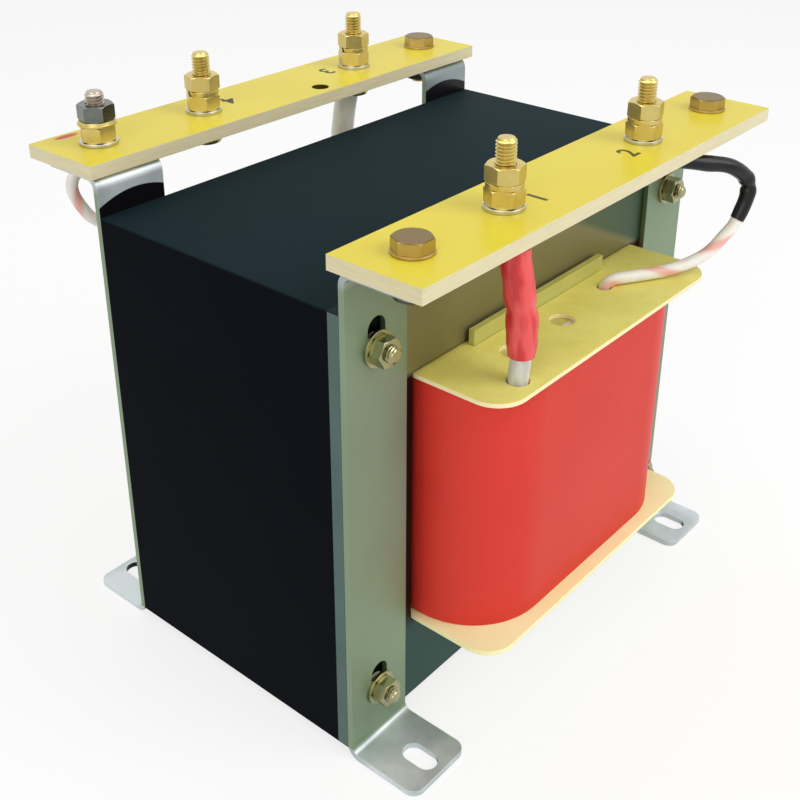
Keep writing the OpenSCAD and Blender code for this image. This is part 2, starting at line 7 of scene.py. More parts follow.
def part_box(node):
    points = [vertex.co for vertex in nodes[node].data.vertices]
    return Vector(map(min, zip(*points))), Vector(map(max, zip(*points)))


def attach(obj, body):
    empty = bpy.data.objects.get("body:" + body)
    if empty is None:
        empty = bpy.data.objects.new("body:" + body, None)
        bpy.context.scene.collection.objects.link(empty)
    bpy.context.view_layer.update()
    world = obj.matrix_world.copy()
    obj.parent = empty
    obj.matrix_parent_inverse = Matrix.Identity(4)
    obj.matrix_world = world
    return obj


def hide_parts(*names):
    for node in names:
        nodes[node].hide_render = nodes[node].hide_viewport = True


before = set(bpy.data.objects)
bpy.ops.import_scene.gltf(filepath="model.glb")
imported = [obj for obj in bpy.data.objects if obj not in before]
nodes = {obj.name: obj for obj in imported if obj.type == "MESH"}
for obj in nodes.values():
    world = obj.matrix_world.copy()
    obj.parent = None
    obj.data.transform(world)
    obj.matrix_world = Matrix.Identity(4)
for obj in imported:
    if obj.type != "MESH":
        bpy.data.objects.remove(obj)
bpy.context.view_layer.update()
scene = bpy.context.scene
mm = 0.001
print("frame loaded:", len(nodes), "nodes")

# ---- camera ----
cameraSettings = {
    "place": (-0.28553, -0.23545, 0.29191),
    "turn": -50.049,  # degrees about Z, 0 looks along +Y
    "dip": 25.793,    # degrees below the horizon
    "roll": 0.292,
    "lens": 53.746,
    "shift": (-0.0085, -0.1438),
}
turned = (Matrix.Rotation(math.radians(cameraSettings["turn"]), 4, "Z")
          @ Matrix.Rotation(math.radians(90 - cameraSettings["dip"]), 4, "X")
          @ Matrix.Rotation(math.radians(cameraSettings["roll"]), 4, "Z"))
bpy.ops.object.camera_add(location=cameraSettings["place"], rotation=turned.to_euler())
camera = bpy.context.object
camera.name = "studioCamera"
camera.data.lens = cameraSettings["lens"]
camera.data.sensor_width = 36
camera.data.shift_x, camera.data.shift_y = cameraSettings["shift"]
camera.data.clip_start = 0.01
camera.data.clip_end = 20
scene.camera = camera
print("camera ready")


# ---- modelling helpers ----
def deselectAll():
    if bpy.context.object and bpy.context.object.mode != "OBJECT":
        bpy.ops.object.mode_set(mode="OBJECT")
    bpy.ops.object.select_all(action="DESELECT")


def pick(*things):
    deselectAll()
    for thing in things:
        thing.select_set(True)
    bpy.context.view_layer.objects.active = things[0]


def pickVertices(thing, test):
    # selects the vertices that pass a test, in edit mode
    bpy.ops.object.mode_set(mode="EDIT")
    bpy.ops.mesh.select_mode(type="VERT")
    bpy.ops.mesh.select_all(action="DESELECT")
    bpy.ops.object.mode_set(mode="OBJECT")
    for vertex in thing.data.vertices:
        vertex.select = test(vertex.co)
    bpy.ops.object.mode_set(mode="EDIT")


def addModifier(thing, kind, **settings):
    # adds a modifier and applies it at once
    pick(thing)
    modifier = thing.modifiers.new(kind.title(), kind)
    for key, value in settings.items():
        setattr(modifier, key, value)
    bpy.ops.object.modifier_apply(modifier=modifier.name)


def bakePlace(thing):
    pick(thing)
    bpy.ops.object.transform_apply(location=True, rotation=True, scale=True)


def copyAt(thing, matrix):
    # a copy with its own mesh, moved by a matrix
    twin = thing.copy()
    twin.data = thing.data.copy()
    scene.collection.objects.link(twin)
    twin.data.transform(matrix)
    return twin


def joinAll(things, name):
    pick(*things)
    if len(things) > 1:
        bpy.ops.object.join()
    joined = bpy.context.view_layer.objects.active
    joined.name = name
    joined.data.name = name
    return joined


def finishPiece(thing, name, material, replaced=(), smoothAngle=30):
    bakePlace(thing)
    thing.name = name
    thing.data.name = name
    thing.data.materials.clear()
    thing.data.materials.append(material)
    if smoothAngle:
        bpy.ops.object.shade_smooth_by_angle(angle=math.radians(smoothAngle))
    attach(thing, "root")
    if replaced:
        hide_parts(*replaced)


easing = {
    "weld": 1e-6,       # m, points nearer than this become one
    "flatWithin": 0.3,  # degrees, faces nearer than this become one
    "sharpFrom": 40,    # degrees, edges sharper than this are eased
    "segments": 2,
}


def easedCopy(node, width, kept=None):
    # a welded copy of a solid with its sharp edges eased, as tumbling or handling leaves them;
    # kept(edge middle) is true where an edge stays sharp
    source = nodes[node]
    twin = source.copy()
    twin.data = source.data.copy()
    for key in list(twin.keys()):
        if key.startswith("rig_"):
            del twin[key]
    twin.parent = None
    twin.hide_render = False
    twin.hide_viewport = False
    scene.collection.objects.link(twin)
    pick(twin)
    bpy.ops.object.mode_set(mode="EDIT")
    bpy.ops.mesh.select_mode(type="VERT")
    bpy.ops.mesh.select_all(action="SELECT")
    bpy.ops.mesh.remove_doubles(threshold=easing["weld"])
    bpy.ops.mesh.dissolve_limited(angle_limit=math.radians(easing["flatWithin"]))
    bpy.ops.mesh.normals_make_consistent(inside=False)
    bpy.ops.mesh.select_mode(type="EDGE")
    bpy.ops.mesh.select_all(action="DESELECT")
    bpy.ops.mesh.edges_select_sharp(sharpness=math.radians(easing["sharpFrom"]))
    if kept:
        bpy.ops.object.mode_set(mode="OBJECT")
        points = twin.data.vertices
        for edge in twin.data.edges:
            middle = (points[edge.vertices[0]].co + points[edge.vertices[1]].co) / 2
            edge.select = edge.select and not kept(middle)
        for face in twin.data.polygons:
            face.select = False  # a selected face would select its edges again
        bpy.ops.object.mode_set(mode="EDIT")
    bpy.ops.mesh.bevel(offset=width, segments=easing["segments"], clamp_overlap=True)
    bpy.ops.object.mode_set(mode="OBJECT")
    return twin


# ---- material helpers ----
def toLinear(colour):
    parts = [int(colour[i:i + 2], 16) / 255 for i in (1, 3, 5)]
    return [c / 12.92 if c <= 0.04045 else ((c + 0.055) / 1.055) ** 2.4 for c in parts] + [1.0]


def linkTo(tree, node, links):
    # a link comes from a socket, or from the first output that a node has in use
    for key, source in links.items():
        if isinstance(source, bpy.types.Node):
            source = next(output for output in source.outputs if output.enabled)
        tree.links.new(source, node.inputs[key])


def addNode(tree, kind, settings=None, links=None):
    # settings with a capital or a number go to the node's sockets, the others to the node itself;
    # a hex colour is turned to linear
    node = tree.nodes.new(kind)
    for key, value in (settings or {}).items():
        if isinstance(value, str) and value.startswith("#"):
            value = toLinear(value)
        if isinstance(key, int) or key[0].isupper():
            node.inputs[key].default_value = value
        else:
            setattr(node, key, value)
    linkTo(tree, node, links or {})
    return node


def startMaterial(name, **sockets):
    material = bpy.data.materials.new(name)
    material.use_nodes = True
    tree = material.node_tree
    shader = tree.nodes["Principled BSDF"]
    for key, value in sockets.items():
        shader.inputs[key.replace("_", " ")].default_value = value
    place = addNode(tree, "ShaderNodeTexCoord").outputs["Object"]
    return material, tree, shader, place


def heightMask(tree, place, low, high, axis="Z"):
    # 0 below the first height in mm and 1 above the second
    parts = addNode(tree, "ShaderNodeSeparateXYZ", None, {0: place})
    return addNode(tree, "ShaderNodeMapRange", {"From Min": low * mm, "From Max": high * mm},
                   {"Value": parts.outputs[axis]})


def levelMask(tree, low, high):
    # 0 on a wall and 1 on a level face, up or down
    normal = addNode(tree, "ShaderNodeNewGeometry").outputs["Normal"]
    upright = addNode(tree, "ShaderNodeSeparateXYZ", None, {0: normal})
    flat = addNode(tree, "ShaderNodeMath", {"operation": "ABSOLUTE"}, {0: upright.outputs["Z"]})
    return addNode(tree, "ShaderNodeMapRange", {"From Min": low, "From Max": high}, {"Value": flat})


# ---- materials ----
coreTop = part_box("i_laminations")[1][2] / mm  # height of the core's top face in mm
strapBack = -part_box("front_left_strap")[1][1]  # distance of a strap's back from the core's middle plane in m

varnishAndSheenLook = {
    "sides": ("#090b11", "#0c1017"),
    "top": ("#17252a", "#1f2c30"),  # painted sheen: the top's tone at the left end of the core and at the right
    "ends": (-90, 90),              # mm, where those ends lie
    "turn": (0.6, 0.2),             # mm below the core's top, where the sides give way to the top
}


# stoved black core varnish over sheet edges: blue-black sides, low sheen, faint sheet lines, and a painted sheen that
# draws the top as a lighter slate, brightening from left to right
def coreVarnishAndSheen():
    look = varnishAndSheenLook
    material, tree, shader, place = startMaterial("coreVarnishAndSheen", Roughness=0.55, Specular_IOR_Level=0.015)
    cloud = addNode(tree, "ShaderNodeTexNoise", {"Scale": 30.0, "Detail": 4.0}, {"Vector": place})
    side = addNode(tree, "ShaderNodeMix", {"data_type": "RGBA", 6: look["sides"][0], 7: look["sides"][1]}, {0: cloud})
    # painted sheen: the top is a lighter slate that brightens from the left end of the core to the right
    top = addNode(tree, "ShaderNodeMix", {"data_type": "RGBA", 6: look["top"][0], 7: look["top"][1]},
                  {0: heightMask(tree, place, *look["ends"], "X")})
    onTop = heightMask(tree, place, coreTop - look["turn"][0], coreTop - look["turn"][1])
    tone = addNode(tree, "ShaderNodeMix", {"data_type": "RGBA"}, {0: onTop, 6: side, 7: top})
    # sheets are 0.5 mm; drawn as 1.5 mm packs so that they show
    sheets = addNode(tree, "ShaderNodeMapping", {"Scale": (3.0, 650.0, 3.0)}, {"Vector": place})
    lines = addNode(tree, "ShaderNodeTexNoise", {"Scale": 1.0, "Detail": 2.0}, {"Vector": sheets})
    bump = addNode(tree, "ShaderNodeBump", {"Strength": 0.16, "Distance": 0.2 * mm}, {"Height": lines})
    linkTo(tree, shader, {"Base Color": tone, "Normal": bump})
    return material


bareSteelAndPaintedLightLook = {
    # the scale tones are a painted shade over the yoke's right end and the yoke tones a painted reflection of the
    # yellow boards; the tones beside the coil and under the straps are painted shade
    "cutEnds": ("#4c605c", "#607570"), "yoke": ("#857f56", "#928c68"), "scale": ("#5c6c4c", "#4a5d48"),
    "shadeBesideCoil": "#26140f", "belowCoil": "#35504a", "shadeUnderStraps": "#12170f", "top": "#141c20",
    # where one gives way to the next, in mm
    "coilBottom": (30, 36), "coilTop": (122, 124), "strapInside": (66.5, 67.5), "coreEnd": (89.6, 89.8),
    "topEdge": (0.5, 0.2), "shadeLine": (152.5, 155.5), "shadeFade": (30, 62),
    "shadeSlope": 0.5,  # fall of the painted shade's edge in each mm to the right
}


# bare silicon steel sheets: dull rolled metal, blue-green on the cut ends, varnished black on top and darker below the
# coil;
# on the upper yoke a painted olive reflection of the yellow boards, and painted shade over its right end, beside the
# coil and under the straps
def siliconSteelAndPaintedLight():
    look = bareSteelAndPaintedLightLook
    material, tree, shader, place = startMaterial("siliconSteelAndPaintedLight", Metallic=0.7, Roughness=0.46, Specular_IOR_Level=0.05)
    cloud = addNode(tree, "ShaderNodeTexNoise", {"Scale": 45.0, "Detail": 5.0}, {"Vector": place})
    ends = addNode(tree, "ShaderNodeMix", {"data_type": "RGBA", 6: look["cutEnds"][0], 7: look["cutEnds"][1]},
                   {0: cloud})
    # painted reflection of the yellow boards on the upper yoke
    yoke = addNode(tree, "ShaderNodeMix", {"data_type": "RGBA", 6: look["yoke"][0], 7: look["yoke"][1]}, {0: cloud})
    parts = addNode(tree, "ShaderNodeSeparateXYZ", None, {0: place})
    across = addNode(tree, "ShaderNodeMath", {"operation": "ABSOLUTE"}, {0: parts.outputs["X"]})
    # a darker green painted shade over the yoke's right end, above a slanting edge
    slant = addNode(tree, "ShaderNodeMath", {"operation": "MULTIPLY_ADD", 1: look["shadeSlope"]},
                    {0: parts.outputs["X"], 2: parts.outputs["Z"]})
    inShade = addNode(tree, "ShaderNodeMapRange", {"From Min": look["shadeLine"][0] * mm,
                                                  "From Max": look["shadeLine"][1] * mm}, {0: slant})
    scale = addNode(tree, "ShaderNodeMix", {"data_type": "RGBA", 6: look["scale"][0], 7: look["scale"][1]},
                    {0: heightMask(tree, place, *look["shadeFade"], "X")})
    upper = addNode(tree, "ShaderNodeMix", {"data_type": "RGBA"}, {0: inShade, 6: yoke, 7: scale})
    # painted shade beside the coil and, further out, behind the straps
    middle = addNode(tree, "ShaderNodeMix", {"data_type": "RGBA", 6: look["shadeBesideCoil"]},
                     {0: heightMask(tree, place, *look["coilTop"]), 7: upper})
    front = addNode(tree, "ShaderNodeMix", {"data_type": "RGBA", 6: look["belowCoil"]},
                    {0: heightMask(tree, place, *look["coilBottom"]), 7: middle})
    covered = addNode(tree, "ShaderNodeMapRange", {"From Min": look["strapInside"][0] * mm,
                                                   "From Max": look["strapInside"][1] * mm}, {0: across})
    face = addNode(tree, "ShaderNodeMix", {"data_type": "RGBA", 7: look["shadeUnderStraps"]}, {0: covered, 6: front})
    atEnd = addNode(tree, "ShaderNodeMapRange", {"From Min": look["coreEnd"][0] * mm,
                                                 "From Max": look["coreEnd"][1] * mm}, {0: across})
    tone = addNode(tree, "ShaderNodeMix", {"data_type": "RGBA"}, {0: atEnd, 6: face, 7: ends})
    onTop = heightMask(tree, place, coreTop - look["topEdge"][0], coreTop - look["topEdge"][1])
    whole = addNode(tree, "ShaderNodeMix", {"data_type": "RGBA", 7: look["top"]}, {0: onTop, 6: tone})
    metal = addNode(tree, "ShaderNodeMapRange", {"To Min": 0.7, "To Max": 0.0}, {"Value": onTop})
    grain = addNode(tree, "ShaderNodeTexNoise", {"Scale": 900.0, "Detail": 2.0}, {"Vector": place})
    bump = addNode(tree, "ShaderNodeBump", {"Strength": 0.1, "Distance": 0.1 * mm}, {"Height": grain})
    linkTo(tree, shader, {"Base Color": whole, "Metallic": metal, "Normal": bump})
    return material


strapLook = {
    # the face tones are a dull painted reflection of the zinc and the bright pair a painted highlight of the same zinc
    "face": ("#7f9077", "#94a58b"), "polishedAndLit": ("#98a2a3", "#dbe3e6"), "varnish": "#08060a",
    # heights in mm
    "footFlat": (3.4, 2.8), "tabBend": (160, 163), "litBackHeights": (150, 151),
    "edges": (90, 65),  # mm from the middle plane to the outer and inner edge of a strap
    # the black patch's edge, in mm above the core's top: its start at the outer edge, its rise and its fall
    "start": 3.0, "rise": 12.0, "fall": 10.7, "soft": 0.15,
}


# bright zinc on pressed strip: dull sage on the long faces, a painted reflection, and a painted bright highlight on the
# smoother foot and tab
def strapZincAndPaintedLight():
    look = strapLook
    material, tree, shader, place = startMaterial("strapZincAndPaintedLight", Specular_IOR_Level=0.2)
    drawn = addNode(tree, "ShaderNodeMapping", {"Scale": (700.0, 700.0, 6.0)}, {"Vector": place})
    lines = addNode(tree, "ShaderNodeTexNoise", {"Scale": 1.0, "Detail": 3.0}, {"Vector": drawn})
    cloud = addNode(tree, "ShaderNodeTexNoise", {"Scale": 28.0, "Detail": 5.0}, {"Vector": place})
    face = addNode(tree, "ShaderNodeMix", {"data_type": "RGBA", 6: look["face"][0], 7: look["face"][1]}, {0: cloud})
    # the bright painted highlight clouds unevenly
    glintCloud = addNode(tree, "ShaderNodeMapRange", {"From Min": 0.36, "From Max": 0.62}, {"Value": cloud})
    bright = addNode(tree, "ShaderNodeMix", {"data_type": "RGBA", 6: look["polishedAndLit"][0], 7: look["polishedAndLit"][1]},
                     {0: glintCloud})
    # painted bright highlight on the foot and the tab, which are also smoother
    foot = heightMask(tree, place, *look["footFlat"])
    polishedAndLit = addNode(tree, "ShaderNodeMath", {"operation": "MAXIMUM"},
                     {0: foot, 1: heightMask(tree, place, *look["tabBend"])})
    # the back of each strap is black up to a curved edge above the core's top; backs face the middle plane of the core
    parts = addNode(tree, "ShaderNodeSeparateXYZ", None, {0: place})
    normal = addNode(tree, "ShaderNodeNewGeometry").outputs["Normal"]
    facing = addNode(tree, "ShaderNodeSeparateXYZ", None, {0: normal})
    inward = addNode(tree, "ShaderNodeMath", {"operation": "MULTIPLY"}, {0: facing.outputs["Y"], 1: parts.outputs["Y"]})
    back = addNode(tree, "ShaderNodeMapRange", {"From Min": -0.5 * strapBack, "From Max": -0.9 * strapBack},
                   {0: inward})
    out = addNode(tree, "ShaderNodeMath", {"operation": "ABSOLUTE"}, {0: parts.outputs["X"]})
    fromEdge = addNode(tree, "ShaderNodeMapRange", {"From Min": look["edges"][0] * mm,
                                                    "From Max": look["edges"][1] * mm}, {0: out})
    curve = addNode(tree, "ShaderNodeMath", {"operation": "MULTIPLY_ADD", 1: -look["fall"], 2: look["rise"]},
                    {0: fromEdge})
    level = addNode(tree, "ShaderNodeMath", {"operation": "MULTIPLY_ADD", 2: coreTop + look["start"]},
                    {0: fromEdge, 1: curve})
    height = addNode(tree, "ShaderNodeMath", {"operation": "DIVIDE", 1: mm}, {0: parts.outputs["Z"]})
    under = addNode(tree, "ShaderNodeMath", {"operation": "SUBTRACT"}, {0: level, 1: height})
    belowEdge = addNode(tree, "ShaderNodeMapRange", {"From Min": -look["soft"], "From Max": look["soft"]}, {0: under})
    blackPatch = addNode(tree, "ShaderNodeMath", {"operation": "MULTIPLY"}, {0: back, 1: belowEdge})
    # painted bright reflection on the backs above the core
    polishedLitBack = addNode(tree, "ShaderNodeMath", {"operation": "MULTIPLY"},
                    {0: back, 1: heightMask(tree, place, *look["litBackHeights"])})
    shiny = addNode(tree, "ShaderNodeMath", {"operation": "MAXIMUM"}, {0: polishedAndLit, 1: polishedLitBack})
    metal = addNode(tree, "ShaderNodeMix", {"data_type": "RGBA"}, {0: shiny, 6: face, 7: bright})
    tone = addNode(tree, "ShaderNodeMix", {"data_type": "RGBA", 7: look["varnish"]}, {0: blackPatch, 6: metal})
    # less of the light comes from reflection on the foot and the back, and none on the black patch
    dull = addNode(tree, "ShaderNodeMath", {"operation": "MAXIMUM"}, {0: foot, 1: polishedLitBack})
    bareShare = addNode(tree, "ShaderNodeMapRange", {"To Min": 0.9, "To Max": 0.42}, {"Value": dull})
    share = addNode(tree, "ShaderNodeMapRange", {"To Max": 0.0}, {"Value": blackPatch, "To Min": bareShare})
    rough = addNode(tree, "ShaderNodeMapRange", {"To Min": 0.5, "To Max": 0.34}, {"Value": shiny})
    bump = addNode(tree, "ShaderNodeBump", {"Strength": 0.05, "Distance": 0.1 * mm}, {"Height": lines})
    linkTo(tree, shader, {"Base Color": tone, "Metallic": share, "Roughness": rough, "Normal": bump})
    return material


# electroplated metal: the colour clouds a little and the roughness follows fine handling marks; sizes in mm
def platedMetal(name, light, dark, roughness, cloudSize, grainSize, cap=None):
    material, tree, shader, place = startMaterial(name, Metallic=1.0)
    cloud = addNode(tree, "ShaderNodeTexNoise", {"Scale": 1 / (cloudSize * mm), "Detail": 5.0, "Roughness": 0.6},
                    {"Vector": place})
    tone = addNode(tree, "ShaderNodeMix", {"data_type": "RGBA", 6: dark, 7: light}, {0: cloud})
    if cap:
        # a browner tone above a height in mm
        tone = addNode(tree, "ShaderNodeMix", {"data_type": "RGBA", 7: cap["tone"]},
                       {0: heightMask(tree, place, cap["from"] - cap["soft"], cap["from"]), 6: tone})
    marks = addNode(tree, "ShaderNodeTexNoise", {"Scale": 1 / (grainSize * mm), "Detail": 3.0}, {"Vector": place})
    rough = addNode(tree, "ShaderNodeMapRange", {"To Min": roughness - 0.03, "To Max": roughness + 0.05},
                    {"Value": marks})
    bump = addNode(tree, "ShaderNodeBump", {"Strength": 0.03, "Distance": 0.1 * mm}, {"Height": marks})
    linkTo(tree, shader, {"Base Color": tone, "Roughness": rough, "Normal": bump})
    return material


windingLook = {
    "turnPitch": 1.6,  # mm from one turn to the next
    "copper": ("#93481f", "#b5652f"), "paper": "#c9bc6a",
    "paperEdge": (0.4, 0.2),  # mm in from either end of the winding
}


# enamelled copper wound in close turns: warm red-brown with a line at each turn, its ends under olive paper
def woundCopper():
    look = windingLook
    material, tree, shader, place = startMaterial("woundCopper", Roughness=0.38)
    low, high = (corner[2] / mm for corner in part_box("inner_winding"))
    parts = addNode(tree, "ShaderNodeSeparateXYZ", None, {0: place})
    turn = addNode(tree, "ShaderNodeMath", {"operation": "MULTIPLY", 1: 2 * math.pi / (look["turnPitch"] * mm)},
                   {0: parts.outputs["Z"]})
    wave = addNode(tree, "ShaderNodeMath", {"operation": "SINE"}, {0: turn})
    cloud = addNode(tree, "ShaderNodeTexNoise", {"Scale": 300.0, "Detail": 3.0}, {"Vector": place})
    copper = addNode(tree, "ShaderNodeMix", {"data_type": "RGBA", 6: look["copper"][0], 7: look["copper"][1]},
                     {0: cloud})
    outer, inner = look["paperEdge"]
    end = addNode(tree, "ShaderNodeMath", {"operation": "MAXIMUM"},
                  {0: heightMask(tree, place, high - outer, high - inner),
                   1: heightMask(tree, place, low + outer, low + inner)})
    tone = addNode(tree, "ShaderNodeMix", {"data_type": "RGBA", 7: look["paper"]}, {0: end, 6: copper})
    metal = addNode(tree, "ShaderNodeMapRange", {"To Min": 0.8, "To Max": 0.0}, {"Value": end})
    bump = addNode(tree, "ShaderNodeBump", {"Strength": 0.3, "Distance": 0.3 * mm}, {"Height": wave})
    linkTo(tree, shader, {"Base Color": tone, "Metallic": metal, "Normal": bump})
    return material


# pressed insulating board for the flanges: waxy, mottled with short fibres
def pressedBoard(name, light, dark, edge=None):
    material, tree, shader, place = startMaterial(name, Roughness=0.48)
    cloud = addNode(tree, "ShaderNodeTexNoise", {"Scale": 70.0, "Detail": 6.0, "Roughness": 0.65}, {"Vector": place})
    fibre = addNode(tree, "ShaderNodeTexNoise", {"Scale": 1400.0, "Detail": 2.0}, {"Vector": place})
    mottle = addNode(tree, "ShaderNodeMath", {"operation": "MULTIPLY_ADD", 1: 0.35}, {0: fibre, 2: cloud})
    span = addNode(tree, "ShaderNodeMapRange", {"From Min": 0.45, "From Max": 0.9}, {"Value": mottle})
    tone = addNode(tree, "ShaderNodeMix", {"data_type": "RGBA", 6: dark, 7: light}, {0: span})
    if edge:
        # the upright walls are drawn paler, a painted highlight where the edge catches the light
        tone = addNode(tree, "ShaderNodeMix", {"data_type": "RGBA", 6: edge}, {0: levelMask(tree, 0.3, 0.6), 7: tone})
    bump = addNode(tree, "ShaderNodeBump", {"Strength": 0.08, "Distance": 0.1 * mm}, {"Height": fibre})
    linkTo(tree, shader, {"Base Color": tone, "Normal": bump})
    return material


# polyester film tape, wound tight: satin red, with long faint ripples along each turn
def filmTape():
    material, tree, shader, place = startMaterial("filmTape", Roughness=0.45, Specular_IOR_Level=0.2)
    cloud = addNode(tree, "ShaderNodeTexNoise", {"Scale": 25.0, "Detail": 3.0}, {"Vector": place})
    tone = addNode(tree, "ShaderNodeMix", {"data_type": "RGBA", 6: "#cf2f24", 7: "#dd3f33"}, {0: cloud})
    stretched = addNode(tree, "ShaderNodeMapping", {"Scale": (120.0, 120.0, 14.0)}, {"Vector": place})
    ripple = addNode(tree, "ShaderNodeTexNoise", {"Scale": 1.0, "Detail": 2.0}, {"Vector": stretched})
    bump = addNode(tree, "ShaderNodeBump", {"Strength": 0.25, "Distance": 0.6 * mm}, {"Height": ripple})
    linkTo(tree, shader, {"Base Color": tone, "Normal": bump})
    return material


boardLow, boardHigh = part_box("front_board")
boardLook = {
    "face": ("#d0bd2c", "#dbcb3c"), "edge": ("#d0c49c", "#ede4bb"), "holeShade": "#4a4212",
    "holesFrom": (1.0, 1.5),  # mm in from the outline; walls further in than this are holes
    "threadGap": 0.8,         # mm between the threads of the glass cloth
    # a dab of marking paint: its place and reach in mm
    "dabPlace": (-80.5, 75.7), "dabReach": (4.4, 1.5), "dab": "#c4383a",
}


# yellow epoxy glass laminate: glossy faces with a faint weave, sawn edges that show pale layers,
# and painted shade that darkens the hole walls
def epoxyBoard():
    look = boardLook
    material, tree, shader, place = startMaterial("epoxyBoard", Roughness=0.32, Specular_IOR_Level=0.25)
    onFace = levelMask(tree, 0.55, 0.8)
    cloud = addNode(tree, "ShaderNodeTexNoise", {"Scale": 22.0, "Detail": 3.0}, {"Vector": place})
    face = addNode(tree, "ShaderNodeMix", {"data_type": "RGBA", 6: look["face"][0], 7: look["face"][1]}, {0: cloud})
    spread = addNode(tree, "ShaderNodeMapping", {"Scale": (90.0, 90.0, 2600.0)}, {"Vector": place})
    layers = addNode(tree, "ShaderNodeTexNoise", {"Scale": 1.0, "Detail": 2.0}, {"Vector": spread})
    sawn = addNode(tree, "ShaderNodeMix", {"data_type": "RGBA", 6: look["edge"][0], 7: look["edge"][1]}, {0: layers})
    mirrored = addNode(tree, "ShaderNodeVectorMath", {"operation": "ABSOLUTE"}, {0: place})
    across = addNode(tree, "ShaderNodeSeparateXYZ", None, {0: mirrored})
    middle, half = (boardLow[1] + boardHigh[1]) / 2, (boardHigh[1] - boardLow[1]) / 2
    off = addNode(tree, "ShaderNodeMath", {"operation": "SUBTRACT", 1: abs(middle)}, {0: across.outputs["Y"]})
    off = addNode(tree, "ShaderNodeMath", {"operation": "ABSOLUTE"}, {0: off})
    near, far = (distance * mm for distance in look["holesFrom"])
    insideY = addNode(tree, "ShaderNodeMapRange", {"From Min": half - near, "From Max": half - far}, {"Value": off})
    insideX = addNode(tree, "ShaderNodeMapRange", {"From Min": boardHigh[0] - near, "From Max": boardHigh[0] - far},
                      {"Value": across.outputs["X"]})
    inside = addNode(tree, "ShaderNodeMath", {"operation": "MULTIPLY"}, {0: insideX, 1: insideY})
    # painted shade on the walls of the holes
    edgeAndHoleShade = addNode(tree, "ShaderNodeMix", {"data_type": "RGBA", 7: look["holeShade"]}, {0: inside, 6: sawn})
    plain = addNode(tree, "ShaderNodeMix", {"data_type": "RGBA"}, {0: onFace, 6: edgeAndHoleShade, 7: face})
    (dabX, dabY), (reachX, reachY) = look["dabPlace"], look["dabReach"]
    centred = addNode(tree, "ShaderNodeMapping", {"vector_type": "TEXTURE", "Location": (dabX * mm, dabY * mm, 0),
                                                  "Scale": (reachX * mm, reachY * mm, 10)}, {"Vector": place})
    away = addNode(tree, "ShaderNodeVectorMath", {"operation": "LENGTH"}, {0: centred})
    dab = addNode(tree, "ShaderNodeMapRange", {"From Min": 1.1, "From Max": 0.8}, {"Value": away})
    tone = addNode(tree, "ShaderNodeMix", {"data_type": "RGBA", 7: look["dab"]}, {0: dab, 6: plain})
    parts = addNode(tree, "ShaderNodeSeparateXYZ", None, {0: place})
    waves = []
    for axis in ("X", "Y"):
        turns = addNode(tree, "ShaderNodeMath", {"operation": "MULTIPLY", 1: 2 * math.pi / (look["threadGap"] * mm)},
                        {0: parts.outputs[axis]})
        waves.append(addNode(tree, "ShaderNodeMath", {"operation": "SINE"}, {0: turns}))
    weave = addNode(tree, "ShaderNodeMath", {"operation": "MULTIPLY"}, {0: waves[0], 1: waves[1]})
    height = addNode(tree, "ShaderNodeMix", {"data_type": "FLOAT"}, {0: onFace, 2: layers, 3: weave})
    bump = addNode(tree, "ShaderNodeBump", {"Strength": 0.05, "Distance": 0.1 * mm}, {"Height": height})
    linkTo(tree, shader, {"Base Color": tone, "Normal": bump})
    return material


# shrunk polyolefin or silicone sleeve: soft gloss with soft clouds that follow the lead
def sleeveRubber(name, main, patches, amount, roughness, subsurface=0.0, tracer=None, specular=0.5):
    material, tree, shader, place = startMaterial(name, Roughness=roughness, Subsurface_Weight=subsurface,
                                                  Subsurface_Scale=0.002, Specular_IOR_Level=specular)
    along = addNode(tree, "ShaderNodeAttribute", {"attribute_name": "along"}).outputs["Vector"]
    # soft clouds about 10 mm long, where the heat took it unevenly
    drawn = addNode(tree, "ShaderNodeMapping", {"Scale": (80.0, 1.0, 1.0)}, {"Vector": along})
    clouds = addNode(tree, "ShaderNodeTexNoise", {"Scale": 1.2, "Detail": 1.0}, {"Vector": drawn})
    spread = addNode(tree, "ShaderNodeMapRange", {"From Min": 0.6 - amount, "From Max": 0.8 - amount},
                     {"Value": clouds})
    tone = addNode(tree, "ShaderNodeMix", {"data_type": "RGBA", 6: main, 7: patches}, {0: spread})
    if tracer:
        # printed on the sleeve and wound once round it in each pitch
        parts = addNode(tree, "ShaderNodeSeparateXYZ", None, {0: along})
        angle = addNode(tree, "ShaderNodeMath", {"operation": "ARCTAN2"},
                        {0: parts.outputs["Y"], 1: parts.outputs["Z"]})
        turn = addNode(tree, "ShaderNodeMath", {"operation": "DIVIDE", 1: 2 * math.pi}, {0: angle})
        phase = addNode(tree, "ShaderNodeMath", {"operation": "MULTIPLY_ADD", 1: 1 / (tracer["pitch"] * mm)},
                        {0: parts.outputs["X"], 2: turn})
        phase = addNode(tree, "ShaderNodeMath", {"operation": "ADD", 1: tracer["shift"]}, {0: phase})
        wave = addNode(tree, "ShaderNodeMath", {"operation": "PINGPONG", 1: 0.5}, {0: phase})
        edge = tracer["width"] / tracer["pitch"] / 2
        inside = addNode(tree, "ShaderNodeMapRange", {"From Min": edge * 1.5, "From Max": edge * 0.5}, {"Value": wave})
        tone = addNode(tree, "ShaderNodeMix", {"data_type": "RGBA", 7: tracer["colour"]}, {0: inside, 6: tone})
    skin = addNode(tree, "ShaderNodeTexNoise", {"Scale": 900.0, "Detail": 2.0}, {"Vector": place})
    bump = addNode(tree, "ShaderNodeBump", {"Strength": 0.15, "Distance": 0.1 * mm}, {"Height": skin})
    linkTo(tree, shader, {"Base Color": tone, "Normal": bump})
    return material


